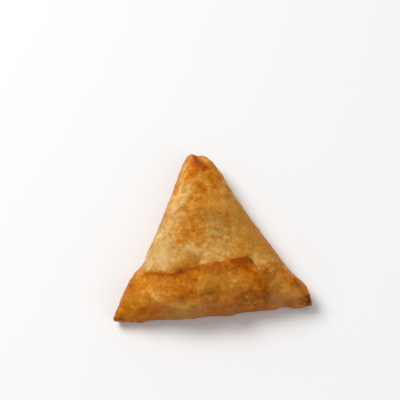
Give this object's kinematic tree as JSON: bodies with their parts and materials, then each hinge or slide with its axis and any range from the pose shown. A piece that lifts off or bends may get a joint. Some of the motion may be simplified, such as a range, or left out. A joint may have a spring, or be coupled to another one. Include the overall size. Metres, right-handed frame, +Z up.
{
  "type": "samosa",
  "caption": "Flat triangular filled pastry pocket, folded from a strip of dough with its flap laid over the front, and baked golden brown.",
  "frame": {"origin": "middle of the underside, at the height of the tray that the samosa lies on", "axes": "+X along the base fold from the left corner to the right corner, +Y from the base fold to the apex, +Z up out of the front face"},
  "size_m": [0.0908, 0.0826, 0.0232],
  "materials": {
    "pastry": "golden baked dough with browned ridges and a faint sheen of oil"
  },
  "bodies": {
    "root": {"samosa": "pastry"}
  },
  "joints": []
}
